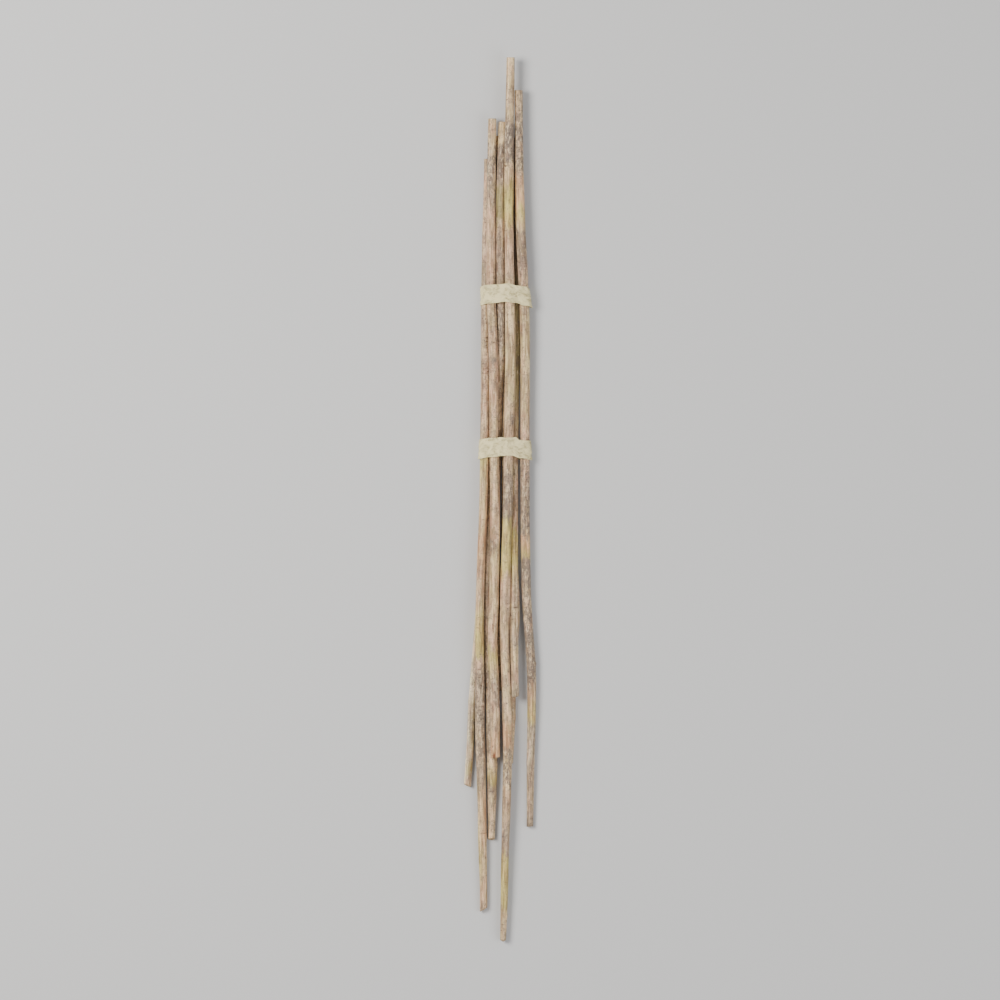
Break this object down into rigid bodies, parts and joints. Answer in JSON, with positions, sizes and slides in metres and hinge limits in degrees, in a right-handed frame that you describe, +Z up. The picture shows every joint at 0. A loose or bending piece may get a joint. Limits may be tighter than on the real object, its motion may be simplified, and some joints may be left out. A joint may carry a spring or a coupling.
{
  "type": "bundle of twigs",
  "caption": "Bundle of dry bark-less twigs with plain cut ends, lying flat and tied with strips of paper tape.",
  "frame": {"origin": "middle of the bundle's box, on the surface that it lies on", "axes": "+Y along the twigs towards their square-cut top ends, +X across the bundle to the right, +Z up"},
  "size_m": [0.0686, 0.8418, 0.0194],
  "materials": {
    "twig": "dry weathered stem with no bark, matt, tan with olive and grey-brown patches",
    "tape": "greyish cream crinkled paper tape, matt"
  },
  "bodies": {
    "root": {"twig_left_splayed": "twig", "twig_left_low": "twig", "twig_under_longest": "twig", "twig_middle_low": "twig", "twig_right_inner": "twig", "twig_left": "twig", "twig_right": "twig", "twig_middle": "twig", "twig_longest": "twig", "tape_upper": "tape", "tape_lower": "tape"}
  },
  "joints": []
}
